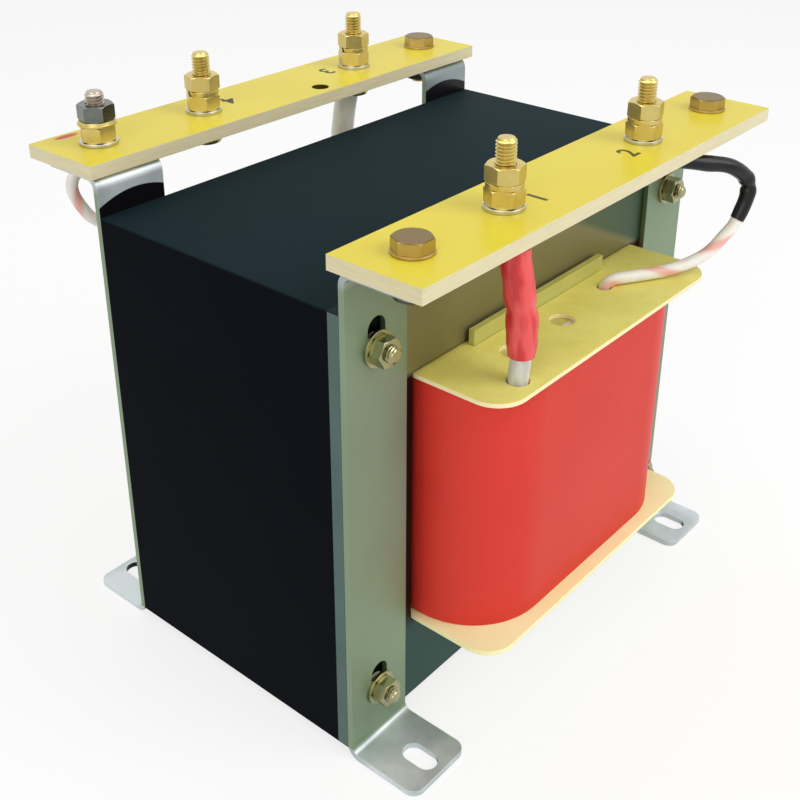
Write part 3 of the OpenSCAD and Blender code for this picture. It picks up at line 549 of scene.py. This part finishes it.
# screen ink for the terminal numbers: flat dark grey-black
def printInk():
    material, tree, shader, place = startMaterial("printInk", Roughness=0.6)
    speck = addNode(tree, "ShaderNodeTexNoise", {"Scale": 2500.0, "Detail": 2.0}, {"Vector": place})
    tone = addNode(tree, "ShaderNodeMix", {"data_type": "RGBA", 6: "#2b2a16", 7: "#4a461d"}, {0: speck})
    linkTo(tree, shader, {"Base Color": tone})
    return material


varnish = coreVarnishAndSheen()
steelSheets = siliconSteelAndPaintedLight()
zinc = strapZincAndPaintedLight()
# one board for both flanges: the upper is drawn lighter against the boards' shade and the lower paler still, both
# painted light
flangeTop = pressedBoard("flangeBoardOliveLightened", "#f2ea86", "#e4d970", "#fdeebc")
tubeBoard = pressedBoard("tubeBoardOlive", "#cbc976", "#bfbb63")
flangeBottom = pressedBoard("flangeBoardPaintedLit", "#fffcc6", "#f9f2b0")
redFilm = filmTape()
yellowBoard = epoxyBoard()
brass = platedMetal("turnedBrass", "#dfce86", "#c2ab62", 0.34, 5, 0.6)
bronzeZinc = platedMetal("yellowChromate", "#c8b176", "#a58f5c", 0.34, 6, 0.6,
                         cap={"tone": "#7e6a40", "from": 174.7, "soft": 0.3})
oliveZinc = platedMetal("oliveChromate", "#b2ae87", "#93906b", 0.24, 5, 2.5)
# a darker copy of the zinc: painted shade on the nuts under the boards
underShadeZinc = platedMetal("shadedZinc", "#5f614f", "#42443a", 0.36, 5, 0.6)
paleZinc = platedMetal("clearZinc", "#d6d6d0", "#b9b8b0", 0.30, 6, 0.6)
darkSteel = platedMetal("blackenedSteel", "#83867f", "#565a55", 0.26, 4, 0.5)
paleBronze = platedMetal("dullBronzePlate", "#cdc4b4", "#9c8f80", 0.32, 4, 0.5)
tinned = platedMetal("tinnedCopper", "#cfcac0", "#b0a99d", 0.36, 4, 0.5)
copperWire = woundCopper()
naturalNylon = pressedBoard("naturalNylon", "#e7e2d2", "#dcd5c0")
whiteSleeve = sleeveRubber("siliconeSleeve", "#f3efe9", "#efe0d6", 0.0, 0.38, 0.1,
                           # pitch and width in mm, shift in turns
                           tracer={"colour": "#efb5aa", "pitch": 21.5, "width": 6.2, "shift": 0.7})
greySleeve = sleeveRubber("greyShrink", "#d9d9d2", "#c3c4bd", 0.2, 0.4, 0.05)
# a lighter copy of the grey shrink: painted light on the sleeve under the rear board
greyShrinkPaintedLit = sleeveRubber("greyShrinkPaintedLit", "#f6f6f3", "#e6e6e1", 0.2, 0.4, 0.05)
redShrink = sleeveRubber("redShrink", "#d1282d", "#ea5554", 0.22, 0.36, 0.05)
blackShrink = sleeveRubber("blackShrink", "#0a0a0b", "#151617", 0.2, 0.3, specular=0.3)
ink = printInk()
print("materials ready:", len(bpy.data.materials))

# ---- solids that stay, and their finishes ----
nodeFinish = {
    "winding_tube": tubeBoard, "inner_winding": copperWire, "winding_insulation": naturalNylon,
    "outer_winding": copperWire, "margin_collars": naturalNylon, "core_bolt_tubes": naturalNylon,
}
for node, material in nodeFinish.items():
    for place in nodes[node].material_slots:
        place.material = material

# ---- solids whose edges are eased ----
easedEdges = {
    # node: (piece, slot, material, width of the eased edge in mm)
    "e_laminations": ("coreStack", "black_lacquer", varnish, 0.3),
    "i_laminations": ("yokeStack", "black_lacquer", varnish, 0.3),
    "bare_e_lamination": ("bareCoreSheets", "bare_steel", steelSheets, 0.15),
    "bare_i_lamination": ("bareYokeSheets", "bare_steel", steelSheets, 0.15),
    "top_flange": ("topFlange", "pressboard", flangeTop, 0.25),
    "bottom_flange": ("bottomFlange", "pressboard", flangeBottom, 0.25),
    "front_left_strap": ("frontLeftStrap", "zinc_plate", zinc, 0.25),
    "front_right_strap": ("frontRightStrap", "zinc_plate", zinc, 0.25),
    "rear_left_strap": ("rearLeftStrap", "zinc_plate", zinc, 0.25),
    "rear_right_strap": ("rearRightStrap", "zinc_plate", zinc, 0.25),
    "core_bolt_nuts": ("coreBoltNuts", "bolt_steel", oliveZinc, 0.15),
    "core_bolt_washers": ("coreBoltWashers", "bolt_steel", oliveZinc, 0.12),
    "front_board": ("frontBoard", "board_yellow", yellowBoard, 0.3),
    "rear_board": ("rearBoard", "board_yellow", yellowBoard, 0.3),
    "board_bolts": ("boardBolts", "brass", bronzeZinc, 0.15),
    "board_bolt_nuts": ("boardBoltNuts", "brass", underShadeZinc, 0.15),
    "board_bolt_washers": ("boardBoltWashers", "plain_steel", bronzeZinc, 0.12),
    "lower_stud_nuts": ("lowerStudNuts", "brass", brass, 0.18),
    "upper_stud_nuts": ("upperStudNuts", "brass", brass, 0.18),
    "stud_spring_washers": ("studSpringWashers", "plain_steel", brass, 0.15),
    "stud_flat_washers": ("studFlatWashers", "plain_steel", paleZinc, 0.15),
    "lug_washers": ("lugWashers", "plain_steel", paleZinc, 0.12),
    "front_lugs": ("frontLugs", "lug_tin", tinned, 0.15),
    "rear_lugs": ("rearLugs", "lug_tin", tinned, 0.15),
    "earth_lower_nut": ("earthLowerNut", "brass", brass, 0.18),
    "earth_upper_nut": ("earthUpperNut", "dark_steel", darkSteel, 0.18),
    "earth_washers": ("earthWashers", "brass", brass, 0.12),
    "earth_flat_washers": ("earthFlatWashers", "plain_steel", paleZinc, 0.15),
    "outer_wrap": ("outerWrap", "red_tape", redFilm, 0.3),
}
# the lamination blocks meet at the top of the windows and the two stacks meet behind the bare sheets
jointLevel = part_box("i_laminations")[0][2]
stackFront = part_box("e_laminations")[0][1]


def atJoint(middle):
    return abs(middle.z - jointLevel) < 0.01 * mm or abs(middle.y - stackFront) < 0.01 * mm


for node, (piece, slot, material, width) in easedEdges.items():
    eased = easedCopy(node, width * mm, kept=atJoint if "lamination" in node else None)
    finishPiece(eased, piece, material, [node], smoothAngle=35)
    addModifier(eased, "WEIGHTED_NORMAL", keep_sharp=True)  # flat faces stay flat beside their eased edges
print("eased pieces ready:", len(easedEdges))

# ---- threaded rods ----
threadSizes = {
    # sizes in mm; steps go round one turn, tip is the length of the tapered start
    "stud": {"radius": 2.95, "pitch": 1.0, "depth": 0.55, "steps": 28, "tip": 0.9, "across": 10.0, "head": 3.6},
    "core": {"radius": 2.45, "pitch": 0.8, "depth": 0.45, "steps": 24, "tip": 0.7, "across": 8.0, "head": 3.5},
}
threadShape = {
    # shares of the pitch; the start keeps the profile's corners off the levels where the rod is cut
    "flank": 0.37, "crest": 0.14, "root": 0.12, "start": -1.013,
    "taper": 0.75,  # mm, how far the tapered start leans in
    "seam": 1e-6, "cut": 2e-6, "end": 6e-6,  # m, distances within which points become one
}
boltShape = {
    # the cone that turns the head's lower corners: its radius as a share of the width, and its slope
    "cone": 0.49, "slope": 1.7,
    "edge": 0.15,       # mm, width of the head's eased edges
    "sharpFrom": 35,    # degrees, edges sharper than this are eased
    "shankFoot": 0.96,  # share of the radius left at the foot of the plain shank
}


def threadedEnd(size, turns):
    # a closed rod with a real thread, from z = 0 to turns times the pitch, tapered at its top
    shape = threadShape
    t = {key: value * mm for key, value in size.items() if key != "steps"}
    inner = t["radius"] - t["depth"]
    deselectAll()
    bpy.ops.mesh.primitive_plane_add(size=t["pitch"], location=(0, 0, 0))
    rod = bpy.context.object
    pickVertices(rod, lambda co: co.x > 0 or co.y > 0)
    bpy.ops.mesh.delete(type="VERT")
    pickVertices(rod, lambda co: True)
    # the one point that is left moves to the root of the thread, and the profile is extruded from it
    here = rod.data.vertices[0].co.copy()
    bpy.ops.transform.translate(value=Vector((inner, 0, shape["start"] * t["pitch"])) - here)
    for side, rise in ((t["depth"], shape["flank"]), (0, shape["crest"]),
                       (-t["depth"], shape["flank"]), (0, shape["root"])):
        bpy.ops.mesh.extrude_region_move(
            TRANSFORM_OT_translate={"value": (side, 0, rise * t["pitch"])})
    bpy.ops.object.mode_set(mode="OBJECT")
    addModifier(rod, "SCREW", angle=2 * math.pi, screw_offset=t["pitch"], iterations=turns + 2,
                steps=size["steps"], render_steps=size["steps"], use_merge_vertices=True,
                merge_threshold=shape["seam"], axis="Z")
    top = turns * t["pitch"]
    for level, away in ((0, (0, 0, -1)), (top, (0, 0, 1))):
        bpy.ops.object.mode_set(mode="EDIT")
        bpy.ops.mesh.select_all(action="SELECT")
        bpy.ops.mesh.remove_doubles(threshold=shape["cut"])
        bpy.ops.mesh.bisect(plane_co=(0, 0, level), plane_no=away, clear_outer=True, threshold=1e-7)
        pickVertices(rod, lambda co: abs(co.z - level) < shape["seam"])
        bpy.ops.mesh.extrude_region_move()
        bpy.ops.mesh.merge(type="CENTER")
        bpy.ops.object.mode_set(mode="OBJECT")
    # the last turns lean in to a tapered start
    for vertex in rod.data.vertices:
        over = max(0.0, vertex.co.z - (top - t["tip"])) / t["tip"]
        reach = math.hypot(vertex.co.x, vertex.co.y)
        limit = t["radius"] - over * shape["taper"] * mm
        if reach > limit:
            vertex.co.x *= limit / reach
            vertex.co.y *= limit / reach
    bpy.ops.object.mode_set(mode="EDIT")
    bpy.ops.mesh.select_all(action="SELECT")
    bpy.ops.mesh.remove_doubles(threshold=shape["end"])
    bpy.ops.mesh.normals_make_consistent(inside=False)
    bpy.ops.object.mode_set(mode="OBJECT")
    return rod


def plainShank(size, length):
    # a plain round shank from z = 0, a little narrower at its foot
    deselectAll()
    bpy.ops.mesh.primitive_cylinder_add(vertices=32, radius=size["radius"] * mm, depth=length,
                                        location=(0, 0, length / 2))
    shank = bpy.context.object
    bakePlace(shank)
    pickVertices(shank, lambda co: co.z < 0.1 * mm)
    bpy.ops.transform.resize(value=(boltShape["shankFoot"], boltShape["shankFoot"], 1), center_override=(0, 0, 0))
    bpy.ops.object.mode_set(mode="OBJECT")
    return shank


def hexHead(size):
    # a hex head under z = 0, its lower corners turned to a cone
    width, height = size["across"] * mm, size["head"] * mm
    deselectAll()
    bpy.ops.mesh.primitive_cylinder_add(vertices=6, radius=width / 2 / math.cos(math.radians(30)), depth=height,
                                        location=(0, 0, -height / 2))
    head = bpy.context.object
    bakePlace(head)
    deselectAll()
    narrow = width * boltShape["cone"]
    bpy.ops.mesh.primitive_cone_add(vertices=48, radius1=narrow, radius2=narrow + height * boltShape["slope"],
                                    depth=height, location=(0, 0, -height / 2))
    cone = bpy.context.object
    bakePlace(cone)
    addModifier(head, "BOOLEAN", operation="INTERSECT", object=cone, solver="EXACT")
    bpy.data.objects.remove(cone)
    addModifier(head, "BEVEL", width=boltShape["edge"] * mm, segments=2, limit_method="ANGLE",
                angle_limit=math.radians(boltShape["sharpFrom"]))
    return head


def boltParts(size, turns, length, places):
    # copies of a head, a plain shank and a threaded end, one set at each place
    thread = threadedEnd(size, turns)
    head = hexHead(size)
    threadLength = turns * size["pitch"] * mm
    shank = plainShank(size, length - threadLength)
    parts = []
    for place in places:
        parts += [copyAt(thread, place @ Matrix.Translation((0, 0, length - threadLength))),
                  copyAt(head, place), copyAt(shank, place)]
    for spare in (thread, head, shank):
        bpy.data.objects.remove(spare)
    return parts


def studPiece(name, node, material, turns):
    size = threadSizes["stud"]
    low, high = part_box(node)
    foot = low[2] + size["head"] * mm
    place = Matrix.Translation(((low[0] + high[0]) / 2, (low[1] + high[1]) / 2, foot))
    stud = joinAll(boltParts(size, turns, high[2] - foot, [place]), name)
    finishPiece(stud, name, material, [node])


studPiece("frontLeftStud", "front_left_stud", brass, 19)
studPiece("frontRightStud", "front_right_stud", brass, 19)
studPiece("rearLeftStud", "rear_left_stud", brass, 19)
studPiece("rearRightStud", "rear_right_stud", brass, 19)
studPiece("earthStud", "earth_stud", paleBronze, 16)

# the four long core bolts, heads at the back and threads through the front nuts
boltFront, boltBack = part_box("core_bolts")
headAt = boltBack[1] - threadSizes["core"]["head"] * mm
washerLow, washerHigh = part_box("core_bolt_washers")
washerHalf = 5.5 * mm  # half the width of a washer
layDown = Matrix.Rotation(math.radians(90), 4, "X")
boltPlaces = [Matrix.Translation((x, headAt, z)) @ layDown
              for x in (washerLow[0] + washerHalf, washerHigh[0] - washerHalf)
              for z in (washerLow[2] + washerHalf, washerHigh[2] - washerHalf)]
coreBolts = joinAll(boltParts(threadSizes["core"], 10, headAt - boltFront[1], boltPlaces), "coreBolts")
finishPiece(coreBolts, "coreBolts", oliveZinc, ["core_bolts"])
print("threaded rods ready")

# ---- leads and shrunk sleeves ----
leadRoutes = {
    # points in mm from the lug down into the flange, for the front pair; the rear pair is turned round
    "thick": [(-45.24, -71.91, 165.0), (-45.24, -71.91, 160.0), (-44.37, -72.7, 152.5), (-43.33, -73.66, 141.25),
              (-43.15, -73.82, 130.0), (-43.41, -73.58, 125.5), (-43.5, -73.5, 121.0)],
    "thin": [(41.13, -68.14, 162.9), (44.96, -71.36, 162.9), (52.51, -76.64, 161.19), (60.5, -81.7, 159.09),
             (67.64, -84.45, 153.76), (69.0, -85.0, 147.66), (65.6, -83.68, 138.9), (61.52, -81.92, 134.32),
             (56.42, -79.72, 129.75), (50.58, -76.17, 126.8), (43.45, -71.83, 125.2), (35.35, -66.9, 124.8),
             (26.92, -61.77, 124.6), (24.39, -60.24, 123.0), (24.0, -60.0, 121.0)],
    "rearThin": [(41.13, -68.14, 162.9), (44.96, -71.36, 162.9), (55.34, -76.64, 161.19), (64.62, -81.7, 159.09),
                 (72.92, -84.45, 153.76), (74.5, -85.0, 147.66), (70.55, -83.68, 138.9), (65.81, -81.92, 134.32),
                 (59.89, -79.72, 129.75), (53.43, -76.17, 126.8), (45.53, -71.83, 125.2), (36.56, -66.9, 124.8),
                 (27.23, -61.77, 124.6), (24.43, -60.24, 123.0), (24.0, -60.0, 121.0)],
}
sleeveShape = {
    "firstSide": (0.6, 0.64, 0.48),      # where the points round a tube start
    "cloudsRound": 1.2,                  # radius of the circle that the colour noise takes round a tube
    "lumpsAlong": 6, "lumpsRound": 0.8,  # the same for the noise of the lumps, and how far it runs along
    "seedStep": 3.7,                     # between the lumps of one sleeve and the next
    "lip": 0.25, "lipEnd": 0.06,         # mm by which an end draws in, over this share of the length
}


def smoothRoute(points, steps):
    # a smooth curve through every point
    points = [Vector(p) * mm for p in points]
    last = len(points) - 1
    route = []
    for i in range(last):
        a, b, c, d = points[max(i - 1, 0)], points[i], points[i + 1], points[min(i + 2, last)]
        for s in range(steps):
            t = s / steps
            route.append((2 * b + (c - a) * t + (2 * a - 5 * b + 4 * c - d) * t * t
                          + (3 * b - a - 3 * c + d) * t ** 3) / 2)
    return route + [points[last]]


def tube(name, route, reach, sides=32):
    # a closed tube round a route; reach(part, angle) gives its radius, part runs from 0 to 1;
    # the attribute holds where each point lies along and round the tube, for the sleeve's colours
    count = len(route)
    lengths = [0.0]
    for a, b in zip(route, route[1:]):
        lengths.append(lengths[-1] + (b - a).length)
    side = Vector(sleeveShape["firstSide"])
    around = sleeveShape["cloudsRound"]
    vertices, faces, values = [], [], []
    for i, centre in enumerate(route):
        ahead = (route[min(i + 1, count - 1)] - route[max(i - 1, 0)]).normalized()
        side = (side - side.dot(ahead) * ahead).normalized()
        other = ahead.cross(side)
        for k in range(sides):
            angle = 2 * math.pi * k / sides
            r = reach(lengths[i] / lengths[-1], angle)
            vertices.append(centre + r * (math.cos(angle) * side + math.sin(angle) * other))
            values.append((lengths[i], math.cos(angle) * around, math.sin(angle) * around))
    for i in range(count - 1):
        for k in range(sides):
            j = (k + 1) % sides
            faces.append((i * sides + k, i * sides + j, (i + 1) * sides + j, (i + 1) * sides + k))
    for i, order in ((0, -1), (count - 1, 1)):
        faces.append([i * sides + k for k in range(sides)][::order])
    mesh = bpy.data.meshes.new(name)
    mesh.from_pydata(vertices, [], faces)
    attribute = mesh.attributes.new("along", "FLOAT_VECTOR", "POINT")
    for value, item in zip(values, attribute.data):
        item.vector = value
    piece = bpy.data.objects.new(name, mesh)
    scene.collection.objects.link(piece)
    return piece


def lumpy(base, seed, lumps):
    # a radius that swells and pinches as shrunk sleeve does over a crimp; lumps holds the height of the
    # scattered ones in mm, then the place, width and height of each one that has its own
    along, around = sleeveShape["lumpsAlong"], sleeveShape["lumpsRound"]

    def reach(part, angle):
        spot = Vector((part * along, math.cos(angle) * around, math.sin(angle) * around + seed))
        rise = noise.noise(spot) * lumps[0]
        for place, width, height in lumps[1:]:
            rise += height * math.exp(-((part - place) / width) ** 2)
        lip = sleeveShape["lip"] * mm * max(0.0, 1 - min(part, 1 - part) / sleeveShape["lipEnd"])
        return base + rise * mm - lip
    return reach


steps = 12  # in each span of a route
thickRoute = smoothRoute(leadRoutes["thick"], steps)
thinRoute = smoothRoute(leadRoutes["thin"], steps)
rearThinRoute = smoothRoute(leadRoutes["rearThin"], steps)
halfTurn = Matrix.Rotation(math.pi, 4, "Z")
leadPieces = [
    # piece, node, slot, material, route, from and to step, radius in mm, lumps, half turned
    ("frontLeftLead", "front_left_lead", "white_sleeve", greySleeve, thickRoute, steps, None, 3.0, [0.1], False),
    ("frontRightLead", "front_right_lead", "white_sleeve", whiteSleeve, thinRoute, steps, None, 2.0, [0.08], False),
    ("rearLeftLead", "rear_left_lead", "white_sleeve", whiteSleeve, rearThinRoute, steps, None, 2.0, [0.08], True),
    ("rearRightLead", "rear_right_lead", "white_sleeve", greySleeve, thickRoute, steps, None, 3.0, [0.1], True),
    ("frontLeftShrink", "front_left_shrink", "red_shrink", redShrink, thickRoute, 4, 4 * steps, 4.35,
     [0.3, (0.45, 0.05, 0.25), (0.56, 0.035, -0.45), (0.68, 0.08, 0.2), (0.97, 0.06, -0.3)], False),
    ("frontRightShrink", "front_right_shrink", "black_shrink", blackShrink, thinRoute, 4, 6 * steps, 2.55,
     [0.15, (0.3, 0.06, 0.15), (0.68, 0.025, 0.25), (0.74, 0.02, -0.3), (0.79, 0.03, 0.2)], False),
    ("rearLeftShrink", "rear_left_shrink", "black_shrink", blackShrink, rearThinRoute, 4, 4 * steps, 2.75,
     [0.2, (0.3, 0.06, 0.15)], True),
    ("rearRightShrink", "rear_right_shrink", "grey_shrink", greyShrinkPaintedLit, thickRoute, 4, 4 * steps, 4.3,
     [0.12], True),
]
for index, (piece, node, slot, material, route, start, end, radius, lumps, turnedRound) in enumerate(leadPieces):
    part = route[start:end]
    lead = tube(piece, part, lumpy(radius * mm, index * sleeveShape["seedStep"], lumps))
    if turnedRound:
        lead.data.transform(halfTurn)
    finishPiece(lead, piece, material, [node], smoothAngle=50)
print("leads ready")

# ---- terminal numbers, plain figures in place of any wording ----
numberSettings = {"size": 9.5 * mm, "height": 0.04 * mm, "weight": 0.18 * mm}
numberPlaces = [
    # figure, place in mm, half turned
    ("1", (-27.0, -66.0), False), ("2", (21.5, -66.0), False),
    ("3", (27.0, 66.0), True), ("4", (-21.5, 66.0), True),
]
figures = []
for figure, (x, y), turnedRound in numberPlaces:
    deselectAll()
    bpy.ops.object.text_add(location=(0, 0, 0))
    text = bpy.context.object
    text.data.body = figure
    text.data.size = numberSettings["size"]
    text.data.extrude = numberSettings["height"] / 2
    text.data.offset = numberSettings["weight"]
    text.data.align_x = "CENTER"
    text.data.align_y = "CENTER"
    bpy.ops.object.convert(target="MESH")
    text.rotation_euler = (0, 0, math.pi if turnedRound else 0)
    text.location = (x * mm, y * mm, boardHigh[2] + numberSettings["height"] / 2)
    bakePlace(text)
    figures.append(text)
finishPiece(joinAll(figures, "terminalNumbers"), "terminalNumbers", ink, smoothAngle=0)
print("numbers ready")

# ---- studio ----
studio = {
    "floorColour": "#f7f7f5",
    "floorWhite": 0.78,  # how much of the floor's look is plain white
    "ambient": 0.38,
}
softboxes = {
    # name: (place, aim, width and height in m, power in W)
    "keyLight": ((0.35, -1.0, 0.95), (0, 0, 0.08), (0.9, 0.9), 9.0),
    "fillLight": ((-1.1, -0.35, 0.7), (0, 0, 0.08), (0.8, 0.8), 4.5),
    "topLight": ((0.1, 0.25, 1.3), (0, 0, 0.1), (1.1, 1.1), 7.0),
}
deselectAll()
bpy.ops.mesh.primitive_plane_add(size=12, location=(0, 0, 0))
floor = bpy.context.object
floor.name = "studioFloor"
floorMaterial, floorTree, floorShader, _ = startMaterial(
    "paleFloor", Base_Color=toLinear(studio["floorColour"]), Roughness=0.9, Specular_IOR_Level=0.1)


def seenRays(tree):
    # 1 for the rays that the eye, a reflection or a clear part sees, 0 for those that light the object
    rays = addNode(tree, "ShaderNodeLightPath")
    seen = addNode(tree, "ShaderNodeMath", {"operation": "MAXIMUM"},
                   {0: rays.outputs["Is Camera Ray"], 1: rays.outputs["Is Glossy Ray"]})
    return addNode(tree, "ShaderNodeMath", {"operation": "MAXIMUM"},
                   {0: seen, 1: rays.outputs["Is Transmission Ray"]})


# the floor looks nearly white and keeps part of the shadow
whiteShare = addNode(floorTree, "ShaderNodeMath", {"operation": "MULTIPLY", 1: studio["floorWhite"]},
                     {0: seenRays(floorTree)})
glow = addNode(floorTree, "ShaderNodeEmission", {"Color": (1, 1, 1, 1), "Strength": 1.0})
mixed = addNode(floorTree, "ShaderNodeMixShader", None, {0: whiteShare, 1: floorShader, 2: glow})
linkTo(floorTree, floorTree.nodes["Material Output"], {"Surface": mixed})
floor.data.materials.append(floorMaterial)

for name, (place, aim, sides, power) in softboxes.items():
    bpy.ops.object.light_add(type="AREA", location=place)
    lamp = bpy.context.object
    lamp.name = name
    lamp.data.shape = "RECTANGLE"
    lamp.data.size, lamp.data.size_y = sides
    lamp.data.energy = power
    lamp.rotation_euler = (Vector(aim) - Vector(place)).to_track_quat("-Z", "Y").to_euler()

world = bpy.data.worlds.new("studioWorld")
scene.world = world
world.use_nodes = True
sky = world.node_tree
sky.nodes.clear()
ambient = addNode(sky, "ShaderNodeBackground", {"Color": (1, 1, 1, 1), "Strength": studio["ambient"]})
white = addNode(sky, "ShaderNodeBackground", {"Color": (1, 1, 1, 1), "Strength": 1.0})
either = addNode(sky, "ShaderNodeMixShader", None, {0: seenRays(sky), 1: ambient, 2: white})
addNode(sky, "ShaderNodeOutputWorld", None, {"Surface": either})
scene.view_settings.view_transform = "Standard"
print("studio ready")
